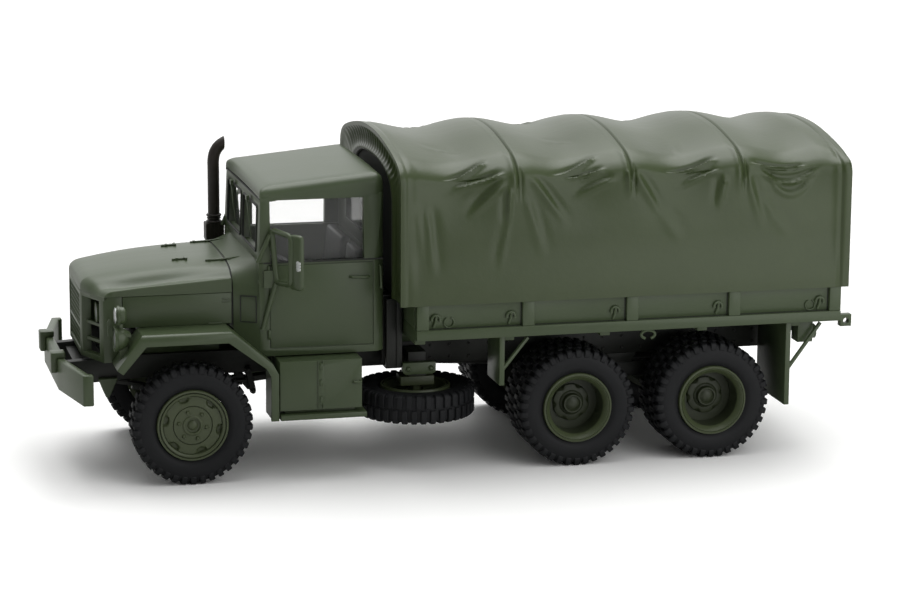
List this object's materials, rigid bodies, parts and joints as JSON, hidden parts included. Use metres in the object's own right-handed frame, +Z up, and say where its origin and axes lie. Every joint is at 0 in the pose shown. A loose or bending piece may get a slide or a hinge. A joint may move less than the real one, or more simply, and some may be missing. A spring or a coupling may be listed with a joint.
{
  "type": "scale model of a military cargo truck",
  "caption": "Small-scale plastic model of a six-wheel-drive military cargo truck with a hardtop cab, a drop-side bed under a moulded canvas cover, and wheels that roll.",
  "frame": {"origin": "on the ground under the middle of the overall box", "axes": "+X forward, +Y to the truck's left, +Z up"},
  "size_m": [0.0788, 0.0282, 0.0325],
  "materials": {
    "body_olive": "satin moulded plastic, olive green",
    "cover_olive": "satin moulded plastic shaped as canvas",
    "rim_olive": "satin moulded plastic, olive green",
    "chassis_dark_olive": "dark moulded plastic",
    "exhaust_brown_black": "painted brown-black",
    "interior_grey": "grey moulded plastic",
    "lamp_silver": "clear lens over silver paint",
    "clear_glazing": "clear moulded polystyrene",
    "tyre_black": "soft black moulded tyre"
  },
  "bodies": {
    "chassis": {"bed_floor": "body_olive", "bogie_springs": "chassis_dark_olive", "bumper_straps": "body_olive", "cab": "body_olive", "cover": "cover_olive", "dashboard": "interior_grey", "engine_and_gearbox": "chassis_dark_olive", "exhaust_stack": "exhaust_brown_black", "fender_lamps": "body_olive", "frame": "chassis_dark_olive", "front_axle": "chassis_dark_olive", "front_bumper": "body_olive", "front_springs": "chassis_dark_olive", "fuel_tank": "body_olive", "glazing": "clear_glazing", "grille": "body_olive", "hardtop": "body_olive", "headboard": "body_olive", "headlamps": "lamp_silver", "hood": "body_olive", "hood_side_panels": "body_olive", "left_bed_side": "body_olive", "left_fender": "body_olive", "left_mirror": "body_olive", "left_tool_box": "body_olive", "middle_axle": "chassis_dark_olive", "mud_flaps": "body_olive", "pintle_hook": "chassis_dark_olive", "propeller_shafts": "chassis_dark_olive", "rear_axle": "chassis_dark_olive", "right_battery_box": "body_olive", "right_bed_side": "body_olive", "right_fender": "body_olive", "right_mirror": "body_olive", "seats": "interior_grey", "spare_carrier": "chassis_dark_olive", "spare_rim": "rim_olive", "spare_tyre": "tyre_black", "steering_wheel": "interior_grey", "tail_lamps": "body_olive", "tailgate": "body_olive", "transfer_case": "chassis_dark_olive"},
    "front_left_wheel": {"front_left_rim": "rim_olive", "front_left_tyre": "tyre_black"},
    "front_right_wheel": {"front_right_rim": "rim_olive", "front_right_tyre": "tyre_black"},
    "middle_left_wheel": {"middle_left_rim": "rim_olive", "middle_left_tyre": "tyre_black"},
    "middle_right_wheel": {"middle_right_rim": "rim_olive", "middle_right_tyre": "tyre_black"},
    "rear_left_wheel": {"rear_left_rim": "rim_olive", "rear_left_tyre": "tyre_black"},
    "rear_right_wheel": {"rear_right_rim": "rim_olive", "rear_right_tyre": "tyre_black"}
  },
  "joints": [
    {"name": "front_left_roll", "type": "hinge", "parent": "chassis", "child": "front_left_wheel", "pos_m": [0.02665, 0.01035, 0.00588], "axis": [0, 1, 0], "continuous": true},
    {"name": "front_right_roll", "type": "hinge", "parent": "chassis", "child": "front_right_wheel", "pos_m": [0.02665, -0.01035, 0.00588], "axis": [0, 1, 0], "continuous": true},
    {"name": "middle_left_roll", "type": "hinge", "parent": "chassis", "child": "middle_left_wheel", "pos_m": [-0.01135, 0.0101, 0.00588], "axis": [0, 1, 0], "continuous": true},
    {"name": "middle_right_roll", "type": "hinge", "parent": "chassis", "child": "middle_right_wheel", "pos_m": [-0.01135, -0.0101, 0.00588], "axis": [0, 1, 0], "continuous": true},
    {"name": "rear_left_roll", "type": "hinge", "parent": "chassis", "child": "rear_left_wheel", "pos_m": [-0.0253, 0.0101, 0.00588], "axis": [0, 1, 0], "continuous": true},
    {"name": "rear_right_roll", "type": "hinge", "parent": "chassis", "child": "rear_right_wheel", "pos_m": [-0.0253, -0.0101, 0.00588], "axis": [0, 1, 0], "continuous": true}
  ]
}
